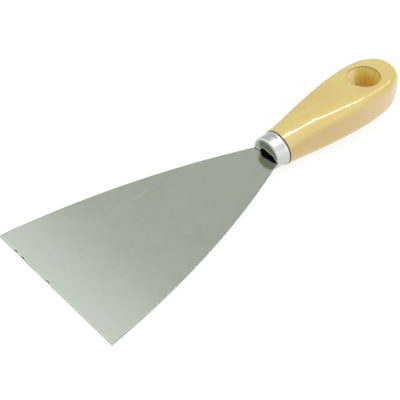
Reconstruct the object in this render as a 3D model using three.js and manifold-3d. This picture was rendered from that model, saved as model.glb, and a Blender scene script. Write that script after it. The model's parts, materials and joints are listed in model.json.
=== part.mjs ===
// Drywall taping knife: a thin spring-steel blade, a pressed metal ferrule and a hardwood handle.
//
// Millimetres, +Z up. The knife is drawn in its own axes and then laid down on the plane Z = 0.
// Knife axes: X runs back from the blade's front edge to the butt of the handle, Y points left,
// Z points up, and the axis of the handle is the line Y = Z = 0.
import * as THREE from 'three';
import { mergeVertices } from 'three/addons/utils/BufferGeometryUtils.js';
import Module from 'manifold-3d';

const wasm = await Module();
wasm.setup();

// ---------------------------------------------------------------- driving dimensions

const gap = 0.3; // clearance between pieces that touch
const overrun = 2; // how far a cutting tool runs past the face it enters through
const mergeDistance = 1e-5; // vertices closer than this are one vertex

const blade = {
  frontWidth: 100, // nominal width of the knife
  exposedLength: 153.6, // front edge to the mouth of the ferrule
  neckWidth: 19, // at the mouth of the ferrule
  sideBulge: 5.65, // rise of each curved side above its chord
  thickness: 0.7,
  pitch: THREE.MathUtils.degToRad(2.6), // the front edge stands up from the handle's axis
  shoulderDepth: 2.2, // from the mouth to the step down to the tang
  tangWidth: 12,
  tangLength: 44,
  tangCorner: 1.5,
};

const ferrule = {
  length: 9,
  radius: 10.45,
  rearRadius: 11.4, // the rear rim is belled out to meet the wood
  bellLength: 3.5,
  lift: 0.9, // the cup and the tenon inside it sit this far above the handle's axis
  wall: 0.7,
  shoulder: 1, // radius of the folded front rim
  dish: 0.5, // how far the end face is pushed in
  dishRadius: 6,
};

// The torn upper lip of the ferrule's mouth. Every "At" is a place across the knife, left positive,
// and the other values are heights above the middle of the blade.
const lip = {
  side: 0.95, // at both ends of the slot
  restAt: 5.8, // the lip lies on the blade from the left end to here
  riseStartAt: 4.6, // control points of the rise to the crown
  riseEndAt: 4.7,
  crownAt: 2.6,
  crown: 3.95, // highest point of the arch
  dropStartAt: 0, // control points of the step down to the shelf
  dropEndAt: -1,
  shelfAt: -3.6,
  shelf: 3.25,
  fallStartAt: -6.5, // control points of the fall to the right end
  fallEndAt: -7.5,
  fallEnd: 2,
};

const handle = {
  length: 101.4,
  neckRadius: 11.5,
  bellyWidth: 35,
  bellyAt: 71.7, // widest section, measured from the ferrule
  planRoundness: 2.2, // exponent that closes the plan from the belly to the butt
  gripThickness: 26.4,
  gripAt: 32, // thickest section
  tailThickness: 24,
  tailAt: 93.2, // where the thickness starts to close towards the butt
  tailRoundness: 2,
  squareAt: 56, // where the section has become a soft rectangle
  squareness: 5.2, // exponent of that section; 2 would be an ellipse
  softenAt: 83, // behind here the section grows round again, towards the butt
  buttSquareness: 2,
  tenonLength: 5,
};

const hole = {
  fromButt: 26.8,
  mouthRadius: 10.4,
  throatRadius: 6.5,
  throatHalfLength: 1.5,
};

const adhesive = { thickness: 1 };

// How finely the curved surfaces are faceted. The corners of the facets lie on the true surface.
const facets = {
  handleAround: 48,
  handleAlong: 34,
  ferruleAround: 48,
  holeAround: 32,
  curve: 12,
};

// ---------------------------------------------------------------- derived places

const mouthX = blade.exposedLength;
const ferruleRearX = mouthX + ferrule.length;
const handleStartX = ferruleRearX + gap;
const tenonFaceX = handleStartX - handle.tenonLength;
const tenonRadius = ferrule.radius - ferrule.wall - gap;
const tangEndX = blade.shoulderDepth + blade.tangLength; // measured from the mouth
const slotClearance = gap + adhesive.thickness + gap; // around the tang, inside the handle

// ---------------------------------------------------------------- geometry helpers

/** Keeps only merged positions and real triangles, so that the surface is one closed shell. */
function toShell(geometry) {
  const bare = geometry.clone();
  bare.deleteAttribute('normal');
  bare.deleteAttribute('uv');
  const merged = mergeVertices(bare, mergeDistance);
  const corners = merged.index.array;
  const kept = [];
  for (let i = 0; i < corners.length; i += 3) {
    const [a, b, c] = corners.slice(i, i + 3);
    if (a !== b && b !== c && c !== a) {
      kept.push(a, b, c);
    }
  }
  merged.setIndex(kept);
  return merged;
}

/** Turns a closed geometry into a manifold solid for joining and cutting. */
function toSolid(geometry) {
  const shell = toShell(geometry);
  return new wasm.Manifold(new wasm.Mesh({
    numProp: 3,
    vertProperties: new Float32Array(shell.attributes.position.array),
    triVerts: new Uint32Array(shell.index.array),
  }));
}

/** Turns a manifold solid back into a geometry. */
function toGeometry(solid) {
  const { vertProperties, triVerts } = solid.getMesh();
  const geometry = new THREE.BufferGeometry();
  geometry.setAttribute('position', new THREE.BufferAttribute(vertProperties, 3));
  geometry.setIndex(new THREE.BufferAttribute(triVerts, 1));
  return geometry;
}

/** Cuts every tool away from a body. */
function cut(body, ...tools) {
  const solid = tools.reduce((rest, tool) => rest.subtract(toSolid(tool)), toSolid(body));
  return toGeometry(solid);
}

/** Moves every vertex of a geometry to the place that `place` returns for it. */
function reshape(geometry, place) {
  const points = geometry.attributes.position;
  const point = new THREE.Vector3();
  for (let i = 0; i < points.count; i += 1) {
    point.copy(place(point.fromBufferAttribute(points, i)));
    points.setXYZ(i, point.x, point.y, point.z);
  }
  return geometry;
}

/** A profile of Vector2(radius, distance along the axis), turned round the X axis. */
function latheAlongX(profile, segments) {
  return new THREE.LatheGeometry(profile, segments).rotateZ(-Math.PI / 2);
}

/** A block that reaches from `fromX` to `toX` and is centred on the X axis. */
function barAlongX(fromX, toX, width, height) {
  return new THREE.BoxGeometry(toX - fromX, width, height).translate((fromX + toX) / 2, 0, 0);
}

/** Smooth rise from 0 to 1 for t between 0 and 1, flat at both ends. */
function ease(t) {
  const u = THREE.MathUtils.clamp(t, 0, 1);
  return u * u * (3 - 2 * u);
}

/** How far a superellipse of the given exponent has closed at t, from 1 at t = 0 to 0 at t = 1. */
function closing(t, exponent) {
  const u = THREE.MathUtils.clamp(t, 0, 1);
  return (1 - u ** exponent) ** (1 / exponent);
}

// ---------------------------------------------------------------- blade

/** Points of the blade's right side, a shallow arc from the front corner back to the mouth. */
function bladeSide() {
  const front = new THREE.Vector2(-blade.exposedLength, -blade.frontWidth / 2);
  const neck = new THREE.Vector2(0, -blade.neckWidth / 2);
  const chord = neck.clone().sub(front);
  const halfChord = chord.length() / 2;
  const radius = (halfChord ** 2 + blade.sideBulge ** 2) / (2 * blade.sideBulge);
  const inward = new THREE.Vector2(-chord.y, chord.x).normalize();
  const centre = front.clone().add(neck).multiplyScalar(0.5)
    .addScaledVector(inward, radius - blade.sideBulge);
  const startAngle = front.clone().sub(centre).angle();
  const endAngle = neck.clone().sub(centre).angle();
  return new THREE.ArcCurve(centre.x, centre.y, radius, startAngle, endAngle, false)
    .getPoints(facets.curve);
}

/** The stamped outline: curved sides, shoulders inside the ferrule, and the tang. */
function bladeOutline() {
  const right = bladeSide();
  const beforeNeck = right[right.length - 2];
  const neck = right[right.length - 1];
  const inwardSlope = (neck.y - beforeNeck.y) / (neck.x - beforeNeck.x);
  const shoulderHalf = blade.neckWidth / 2 - inwardSlope * blade.shoulderDepth;
  const tangHalf = blade.tangWidth / 2;
  right.push(new THREE.Vector2(blade.shoulderDepth, -shoulderHalf));
  right.push(new THREE.Vector2(blade.shoulderDepth, -tangHalf));
  right.push(new THREE.Vector2(tangEndX - blade.tangCorner, -tangHalf));
  right.push(new THREE.Vector2(tangEndX, -tangHalf + blade.tangCorner));
  const left = right.map((point) => new THREE.Vector2(point.x, -point.y)).reverse();
  return new THREE.Shape([...right, ...left]);
}

function bladeGeometry() {
  const geometry = new THREE.ExtrudeGeometry(bladeOutline(), {
    depth: blade.thickness,
    bevelEnabled: false,
  });
  return toShell(geometry.translate(0, 0, -blade.thickness / 2));
}

// ---------------------------------------------------------------- ferrule

/** Half section of the drawn cup, from the middle of its end face round to its inside. */
function ferruleProfile() {
  const { length, radius, rearRadius, bellLength, wall, shoulder, dish, dishRadius } = ferrule;
  const bellStart = length - bellLength;
  const points = [
    new THREE.Vector2(0, dish),
    new THREE.Vector2(dishRadius, dish),
  ];
  const steps = facets.curve / 2;
  for (let i = 0; i <= steps; i += 1) {
    const angle = (Math.PI / 2) * (i / steps);
    points.push(new THREE.Vector2(
      radius - shoulder + shoulder * Math.sin(angle),
      shoulder - shoulder * Math.cos(angle),
    ));
  }
  const bell = [];
  for (let i = 0; i <= steps; i += 1) {
    const along = i / steps;
    bell.push(new THREE.Vector2(
      radius + (rearRadius - radius) * along ** 2,
      bellStart + bellLength * along,
    ));
  }
  points.push(...bell);
  points.push(...bell.reverse().map((point) => new THREE.Vector2(point.x - wall, point.y)));
  points.push(new THREE.Vector2(radius - wall, shoulder + wall));
  points.push(new THREE.Vector2(radius - shoulder - wall, wall + dish));
  points.push(new THREE.Vector2(0, wall + dish));
  return points;
}

/** The mouth cut through the end face: a slot for the blade under a crooked arch. */
function mouthCutter() {
  const slotHalf = blade.neckWidth / 2 + gap;
  const slotHigh = blade.thickness / 2 + gap;
  const depth = ferrule.shoulder + ferrule.dish + ferrule.wall;
  const arch = new THREE.Shape();
  arch.moveTo(-slotHalf, -slotHigh);
  arch.lineTo(slotHalf, -slotHigh);
  arch.lineTo(slotHalf, lip.side);
  arch.lineTo(lip.restAt, slotHigh);
  arch.bezierCurveTo(lip.riseStartAt, slotHigh, lip.riseEndAt, lip.crown, lip.crownAt, lip.crown);
  arch.bezierCurveTo(lip.dropStartAt, lip.crown, lip.dropEndAt, lip.shelf, lip.shelfAt, lip.shelf);
  arch.bezierCurveTo(lip.fallStartAt, lip.shelf, lip.fallEndAt, lip.fallEnd, -slotHalf, lip.side);
  const geometry = new THREE.ExtrudeGeometry(arch, {
    depth: 2 * depth,
    bevelEnabled: false,
    curveSegments: facets.curve / 2,
  });
  // The shape is drawn across the knife (its x is Y, its y is Z) and extruded back along X.
  return reshape(geometry, (point) => new THREE.Vector3(point.z - depth, point.x, point.y));
}

/** The cup, lifted off the handle's axis except at its rear rim, with the mouth cut in it. */
function ferruleGeometry() {
  const cup = latheAlongX(ferruleProfile(), facets.ferruleAround);
  reshape(cup, (point) => {
    const intoBell = (point.x - ferrule.length + ferrule.bellLength) / ferrule.bellLength;
    const lift = ferrule.lift * (1 - ease(intoBell));
    return new THREE.Vector3(point.x, point.y, point.z + lift);
  });
  return cut(cup, mouthCutter());
}

// ---------------------------------------------------------------- handle

/** Half width, half thickness and section exponent of the grip, x behind the ferrule. */
function gripSection(x) {
  const { length, bellyAt, gripAt, tailAt, squareAt, softenAt } = handle;
  const neck = handle.neckRadius;
  const belly = handle.bellyWidth / 2;
  const grip = handle.gripThickness / 2;
  const tail = handle.tailThickness / 2;
  const widening = Math.min(x / bellyAt, 1);
  const plan = neck + (belly - neck) * ease(widening);
  const rise = neck + (grip - neck) * ease(x / gripAt);
  const fall = (grip - tail) * ease((x - gripAt) / (tailAt - gripAt));
  const squared = 2 + (handle.squareness - 2) * Math.min(x / squareAt, 1);
  return {
    halfWidth: plan * closing((x - bellyAt) / (length - bellyAt), handle.planRoundness),
    halfThickness: (rise - fall) * closing((x - tailAt) / (length - tailAt), handle.tailRoundness),
    exponent: squared + (handle.buttSquareness - squared) * ease((x - softenAt) / (length - softenAt)),
  };
}

/** Distance from the axis to a superelliptic section, in the direction `angle`. */
function sectionRadius({ halfWidth, halfThickness, exponent }, angle) {
  const across = Math.abs(Math.cos(angle) / halfWidth) ** exponent;
  const upward = Math.abs(Math.sin(angle) / halfThickness) ** exponent;
  return (across + upward) ** (-1 / exponent);
}

/** The turned and shaped wood: a round tenon and the grip, drawn from the ferrule's rear rim. */
function handleBlank() {
  // The lathe runs over whole numbers, one per section; each vertex is then moved to its place.
  const stations = [
    { x: -handle.tenonLength, radius: tenonRadius, lift: ferrule.lift },
    { x: 0, radius: tenonRadius, lift: ferrule.lift },
  ];
  for (let i = 0; i < facets.handleAlong; i += 1) {
    const remaining = 1 - i / facets.handleAlong;
    stations.push({ x: handle.length * (1 - remaining ** 2) });
  }
  stations.push({ x: handle.length, radius: 0 });
  const profile = [new THREE.Vector2(0, 0)];
  stations.forEach((station, row) => profile.push(new THREE.Vector2(station.radius === 0 ? 0 : 1, row)));
  const blank = latheAlongX(profile, facets.handleAround);
  return reshape(blank, (point) => {
    const station = stations[Math.round(point.x)];
    const lift = station.lift ?? 0;
    const onAxis = Math.round(Math.hypot(point.y, point.z)) === 0;
    if (onAxis) {
      return new THREE.Vector3(station.x, 0, lift);
    }
    const angle = Math.atan2(point.z, point.y);
    const radius = station.radius ?? sectionRadius(gripSection(station.x), angle);
    return new THREE.Vector3(station.x, radius * Math.cos(angle), radius * Math.sin(angle) + lift);
  });
}

/** Hourglass hole for hanging the knife up, narrowing from both faces to its throat. */
function holeCutter() {
  const faceHeight = gripSection(handle.length - hole.fromButt).halfThickness;
  const slope = (hole.mouthRadius - hole.throatRadius) / (faceHeight - hole.throatHalfLength);
  const beyond = faceHeight + overrun;
  const outerRadius = hole.throatRadius + slope * (beyond - hole.throatHalfLength);
  const profile = [
    new THREE.Vector2(0, -beyond),
    new THREE.Vector2(outerRadius, -beyond),
    new THREE.Vector2(hole.throatRadius, -hole.throatHalfLength),
    new THREE.Vector2(hole.throatRadius, hole.throatHalfLength),
    new THREE.Vector2(outerRadius, beyond),
    new THREE.Vector2(0, beyond),
  ];
  return new THREE.LatheGeometry(profile, facets.holeAround)
    .rotateX(Math.PI / 2)
    .translate(handle.length - hole.fromButt, 0, 0);
}

/** Slot sawn for the tang, drawn in the blade's axes and turned into the handle's. */
function tangSlotCutter() {
  const start = tenonFaceX - mouthX - overrun;
  const slot = barAlongX(
    start,
    tangEndX + slotClearance,
    blade.tangWidth + 2 * slotClearance,
    blade.thickness + 2 * slotClearance,
  );
  return slot.rotateY(blade.pitch).translate(mouthX - handleStartX, 0, 0);
}

function handleGeometry() {
  return cut(handleBlank(), holeCutter(), tangSlotCutter());
}

// ---------------------------------------------------------------- adhesive round the tang

/** Set adhesive that beds the tang in its slot, drawn in the blade's axes. */
function adhesiveGeometry() {
  const around = 2 * (gap + adhesive.thickness);
  const start = tenonFaceX - mouthX + gap;
  const bed = barAlongX(
    start,
    tangEndX + gap + adhesive.thickness,
    blade.tangWidth + around,
    blade.thickness + around,
  );
  const tangRoom = barAlongX(
    start - overrun,
    tangEndX + gap,
    blade.tangWidth + 2 * gap,
    blade.thickness + 2 * gap,
  );
  return cut(bed, tangRoom);
}

// ---------------------------------------------------------------- materials

const steel = new THREE.MeshStandardMaterial({ color: 0xa9b0a3, roughness: 0.35, metalness: 1 });
const plate = new THREE.MeshStandardMaterial({ color: 0xd2d4cb, roughness: 0.25, metalness: 1 });
const wood = new THREE.MeshStandardMaterial({ color: 0xdfc787, roughness: 0.25, metalness: 0 });
const resin = new THREE.MeshStandardMaterial({ color: 0x8a6a3c, roughness: 0.6, metalness: 0 });

// ---------------------------------------------------------------- assembly

/** A named piece. */
function piece(name, geometry, material) {
  const mesh = new THREE.Mesh(geometry, material);
  mesh.name = name;
  return mesh;
}

/** Everything that lies in the pitched plane of the blade, turned about the ferrule's mouth. */
function bladeGroup() {
  const group = new THREE.Group();
  group.add(piece('blade', bladeGeometry(), steel));
  group.add(piece('tang_adhesive', adhesiveGeometry(), resin));
  group.position.x = mouthX;
  group.rotation.y = blade.pitch;
  return group;
}

/** Angle that brings the front edge and the underside of the knife down on to one plane. */
function restTilt() {
  const edgeX = mouthX - blade.exposedLength * Math.cos(blade.pitch);
  const edgeZ = blade.exposedLength * Math.sin(blade.pitch) - blade.thickness / 2;
  const underside = [];
  for (let x = 0; x < handle.length; x += 1) {
    underside.push([handleStartX + x, gripSection(x).halfThickness]);
  }
  return Math.max(...underside.map(([x, depth]) => Math.atan2(edgeZ + depth, x - edgeX)));
}

function buildKnife() {
  const knife = new THREE.Group();
  const ring = piece('ferrule', ferruleGeometry(), plate);
  const grip = piece('handle', handleGeometry(), wood);
  ring.position.x = mouthX;
  grip.position.x = handleStartX;
  knife.add(bladeGroup(), ring, grip);
  knife.rotation.y = -restTilt();
  return knife;
}

/** Stands the knife on Z = 0 with the centre of its footprint at the origin. */
function layDown(knife) {
  knife.updateMatrixWorld(true);
  const bounds = new THREE.Box3().setFromObject(knife, true);
  const middle = bounds.getCenter(new THREE.Vector3());
  knife.position.set(-middle.x, -middle.y, -bounds.min.z);
}

const tapingKnife = new THREE.Group();
const knife = buildKnife();
layDown(knife);
tapingKnife.add(knife);

export default tapingKnife;
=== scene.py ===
"""Drywall taping knife: a flared steel blade, a pressed ferrule and a lacquered hardwood handle.

Metres, +Z up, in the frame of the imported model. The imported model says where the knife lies; the
classes below rebuild its blade, ferrule and handle there as fine meshes and dress every piece.

Blade axes: X runs back along the sheet from the mouth of the ferrule, Y points left and Z stands
off the upper face. Handle axes: X runs back along the handle, Y points left, Z points up, and the
origin lies at the mouth of the ferrule for the ferrule and at the wood's shoulder for the handle.
"""

import json
import logging
import math
from dataclasses import dataclass, field
from enum import Enum
from typing import Mapping, Sequence

import bmesh
import bpy
from mathutils import Matrix, Vector


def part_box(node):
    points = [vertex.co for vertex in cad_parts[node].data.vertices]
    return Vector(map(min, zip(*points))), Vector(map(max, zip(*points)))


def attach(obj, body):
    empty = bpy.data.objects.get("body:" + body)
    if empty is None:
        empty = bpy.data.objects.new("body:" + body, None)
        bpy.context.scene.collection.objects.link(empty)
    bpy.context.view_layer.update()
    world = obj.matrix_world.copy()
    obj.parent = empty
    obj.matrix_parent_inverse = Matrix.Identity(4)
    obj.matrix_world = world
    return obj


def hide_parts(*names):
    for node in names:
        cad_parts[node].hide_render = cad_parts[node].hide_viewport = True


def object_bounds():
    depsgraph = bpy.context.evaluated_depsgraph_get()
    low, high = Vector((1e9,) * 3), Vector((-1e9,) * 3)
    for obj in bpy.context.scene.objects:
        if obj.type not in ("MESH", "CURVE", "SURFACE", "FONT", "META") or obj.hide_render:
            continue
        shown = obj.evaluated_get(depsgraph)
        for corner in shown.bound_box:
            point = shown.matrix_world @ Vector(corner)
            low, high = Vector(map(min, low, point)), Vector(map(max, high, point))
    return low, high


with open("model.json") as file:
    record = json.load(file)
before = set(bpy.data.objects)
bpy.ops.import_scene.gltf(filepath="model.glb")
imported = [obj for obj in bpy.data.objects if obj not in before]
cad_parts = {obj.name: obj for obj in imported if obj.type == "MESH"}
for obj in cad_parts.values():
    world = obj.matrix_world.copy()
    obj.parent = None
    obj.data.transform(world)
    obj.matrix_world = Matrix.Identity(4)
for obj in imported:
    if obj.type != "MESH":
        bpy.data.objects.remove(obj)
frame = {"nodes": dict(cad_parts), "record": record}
cad_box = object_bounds()

log = logging.getLogger("taping_knife")

MM = 0.001
TORN_EDGE = "torn_edge"

# The hanging hole, which the wood's shape and its finish both follow: how far it lies behind the
# wood's shoulder, and its radii at the faces and half way down.
HOLE_AT = 74.6 * MM
HOLE_MOUTH = 10.4 * MM
HOLE_THROAT = 6.5 * MM

Colour = tuple[float, float, float]
Scales = tuple[float, float, float]


class Slot(Enum):
    """The record's material slot names, which this script does not use."""

    STEEL = "spring_steel"
    PLATING = "plated_steel"
    WOOD = "lacquered_wood"


# ---------------------------------------------------------------- node graphs


@dataclass(frozen=True)
class Wire:
    """A node's output in an expression; every operator adds one Math node to the graph."""

    graph: "NodeGraph"
    socket: bpy.types.NodeSocket

    def __add__(self, other: "Number") -> "Wire":
        """The sum."""
        return self.graph.maths("ADD", self, other)

    __radd__ = __add__

    def __sub__(self, other: "Number") -> "Wire":
        """The difference."""
        return self.graph.maths("SUBTRACT", self, other)

    def __rsub__(self, other: "Number") -> "Wire":
        """The difference, with this wire taken away."""
        return self.graph.maths("SUBTRACT", other, self)

    def __mul__(self, other: "Number") -> "Wire":
        """The product."""
        return self.graph.maths("MULTIPLY", self, other)

    __rmul__ = __mul__

    def __truediv__(self, other: "Number") -> "Wire":
        """The quotient."""
        return self.graph.maths("DIVIDE", self, other)

    def __rtruediv__(self, other: "Number") -> "Wire":
        """The quotient, with this wire below."""
        return self.graph.maths("DIVIDE", other, self)

    def __pow__(self, other: "Number") -> "Wire":
        """The power."""
        return self.graph.maths("POWER", self, other)

    def __abs__(self) -> "Wire":
        """The value without its sign."""
        return self.graph.maths("ABSOLUTE", self)


Number = float | Wire


class NodeGraph:
    """A node tree under construction, for a material or for geometry."""

    def __init__(self, tree: bpy.types.NodeTree) -> None:
        """Takes over an empty tree."""
        self.tree = tree

    def node(
        self,
        kind: str,
        settings: Mapping[str, object] | None = None,
        inputs: Mapping[str, object] | None = None,
    ) -> bpy.types.Node:
        """Adds one node.

        Args:
            kind: The node's Blender type.
            settings: Properties set before the sockets.
            inputs: A value or a Wire for each named socket.

        Returns:
            The new node.
        """
        node = self.tree.nodes.new(kind)
        for name, value in (settings or {}).items():
            setattr(node, name, value)
        for name, value in (inputs or {}).items():
            socket = next(s for s in node.inputs if s.enabled and s.name == name)
            if isinstance(value, Wire):
                self.tree.links.new(value.socket, socket)
            else:
                socket.default_value = value
        return node

    def wire(self, node: bpy.types.Node, name: str | int = 0) -> Wire:
        """One output of a node, by name or by number.

        Args:
            node: The node.
            name: The output's name, or its number.

        Returns:
            The output as a Wire.
        """
        if isinstance(name, int):
            return Wire(self, node.outputs[name])
        return Wire(self, next(s for s in node.outputs if s.enabled and s.name == name))

    def maths(self, operation: str, *values: Number) -> Wire:
        """Adds a Math node.

        Args:
            operation: The node's operation.
            values: One, two or three numbers or wires.

        Returns:
            Its result.
        """
        node = self.node("ShaderNodeMath", {"operation": operation})
        for socket, value in zip(node.inputs, values):
            if isinstance(value, Wire):
                self.tree.links.new(value.socket, socket)
            else:
                socket.default_value = value
        return self.wire(node)

    def clamp(self, value: Number, low: float = 0.0, high: float = 1.0) -> Wire:
        """The value held between low and high."""
        return self.maths("MINIMUM", self.maths("MAXIMUM", value, low), high)

    def below(self, value: Number, limit: Number) -> Wire:
        """1 where the value is below the limit, otherwise 0."""
        return self.maths("LESS_THAN", value, limit)

    def ease(self, value: Wire) -> Wire:
        """Smooth rise from 0 to 1 for a value between 0 and 1, flat at both ends."""
        held = self.clamp(value)
        return held * held * (3.0 - 2.0 * held)

    def rise(self, value: Wire, low: float, high: float) -> Wire:
        """Smooth rise from 0 at low to 1 at high; low may be the larger.

        Args:
            value: The value.
            low: Where the rise starts.
            high: Where it ends.

        Returns:
            A wire between 0 and 1.
        """
        node = self.node(
            "ShaderNodeMapRange",
            {"interpolation_type": "SMOOTHSTEP"},
            {"Value": value, "From Min": low, "From Max": high, "To Min": 0.0, "To Max": 1.0},
        )
        return self.wire(node, "Result")

    def vector(self, x: Number, y: Number, z: Number) -> Wire:
        """Three numbers joined to a vector."""
        return self.wire(self.node("ShaderNodeCombineXYZ", inputs={"X": x, "Y": y, "Z": z}))

    def split(self, vector: Wire) -> tuple[Wire, Wire, Wire]:
        """A vector taken apart."""
        node = self.node("ShaderNodeSeparateXYZ", inputs={"Vector": vector})
        return self.wire(node, "X"), self.wire(node, "Y"), self.wire(node, "Z")

    def stretched(self, vector: Wire, scales: Scales) -> Wire:
        """A vector with each component scaled, for grain and brush marks.

        Args:
            vector: The position.
            scales: A factor for each component.

        Returns:
            The scaled position.
        """
        node = self.node("ShaderNodeVectorMath", {"operation": "MULTIPLY"})
        self.tree.links.new(vector.socket, node.inputs[0])
        node.inputs[1].default_value = scales
        return self.wire(node)

    def shifted(self, vector: Wire, other: Wire, amount: float) -> Wire:
        """A vector pushed along another one by an amount.

        Args:
            vector: The position.
            other: The direction of the push.
            amount: Its length for a direction of length 1.

        Returns:
            The pushed position.
        """
        scaled = self.node("ShaderNodeVectorMath", {"operation": "SCALE"})
        self.tree.links.new(other.socket, scaled.inputs[0])
        scaled.inputs["Scale"].default_value = amount
        node = self.node("ShaderNodeVectorMath", {"operation": "ADD"})
        self.tree.links.new(vector.socket, node.inputs[0])
        self.tree.links.new(scaled.outputs[0], node.inputs[1])
        return self.wire(node)

    def noise(self, vector: Wire, scale: float, detail: float = 3.0, roughness: float = 0.5) -> Wire:
        """Noise with values around a half, at `scale` patches a metre.

        Args:
            vector: The position.
            scale: Patches a metre.
            detail: How many finer layers there are.
            roughness: How strong the finer layers are.

        Returns:
            The noise.
        """
        node = self.node(
            "ShaderNodeTexNoise",
            inputs={"Vector": vector, "Scale": scale, "Detail": detail, "Roughness": roughness},
        )
        return self.wire(node, 0)

    def mix(self, factor: Number, first: object, second: object, blend: str = "MIX") -> Wire:
        """Two colours mixed.

        Args:
            factor: How much of the second colour there is.
            first: A colour or a Wire.
            second: A colour or a Wire.
            blend: The Mix node's blend type.

        Returns:
            The mixed colour.
        """
        node = self.node(
            "ShaderNodeMix",
            {"data_type": "RGBA", "blend_type": blend, "clamp_factor": True},
            {"Factor": factor, "A": as_rgba(first), "B": as_rgba(second)},
        )
        return self.wire(node, "Result")


def as_rgba(colour: object) -> object:
    """A plain colour with its alpha added; a Wire is passed on."""
    return colour if isinstance(colour, Wire) else (*colour, 1.0)


# ---------------------------------------------------------------- materials


@dataclass(frozen=True)
class Finish:
    """What every finish has: a name, and a Principled surface with its pattern axes."""

    name: str

    def start(self, axes: Matrix) -> tuple[bpy.types.Material, NodeGraph, Wire]:
        """Starts the material.

        Args:
            axes: The piece's own axes in the frame.

        Returns:
            The material, its graph and the position in the piece's axes, in metres.
        """
        material = bpy.data.materials.new(self.name)
        material.use_nodes = True
        material.node_tree.nodes.clear()
        graph = NodeGraph(material.node_tree)
        inverse = axes.inverted()
        place = graph.node(
            "ShaderNodeMapping",
            {"vector_type": "POINT"},
            {
                "Vector": graph.wire(graph.node("ShaderNodeTexCoord"), "Object"),
                "Location": inverse.to_translation(),
                "Rotation": inverse.to_euler(),
            },
        )
        return material, graph, graph.wire(place)

    def bump(self, graph: NodeGraph, height: Wire, depth: float) -> Wire:
        """The surface normal bent by a height pattern of the given depth in metres."""
        node = graph.node("ShaderNodeBump", inputs={"Strength": 1.0, "Distance": depth, "Height": height})
        return graph.wire(node)

    def finish(self, graph: NodeGraph, inputs: Mapping[str, object]) -> None:
        """Joins the Principled surface to the output."""
        surface = graph.node("ShaderNodeBsdfPrincipled", inputs=inputs)
        graph.node("ShaderNodeOutputMaterial", inputs={"Surface": graph.wire(surface)})


@dataclass(frozen=True)
class Nick:
    """A small dark nick in the front edge of the blade."""

    across: float
    half_width: float
    depth: float


@dataclass(frozen=True)
class Scuff:
    """A faint pale scuff on the blade between two places, each (along, across)."""

    start: tuple[float, float]
    end: tuple[float, float]
    half_width: float


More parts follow.
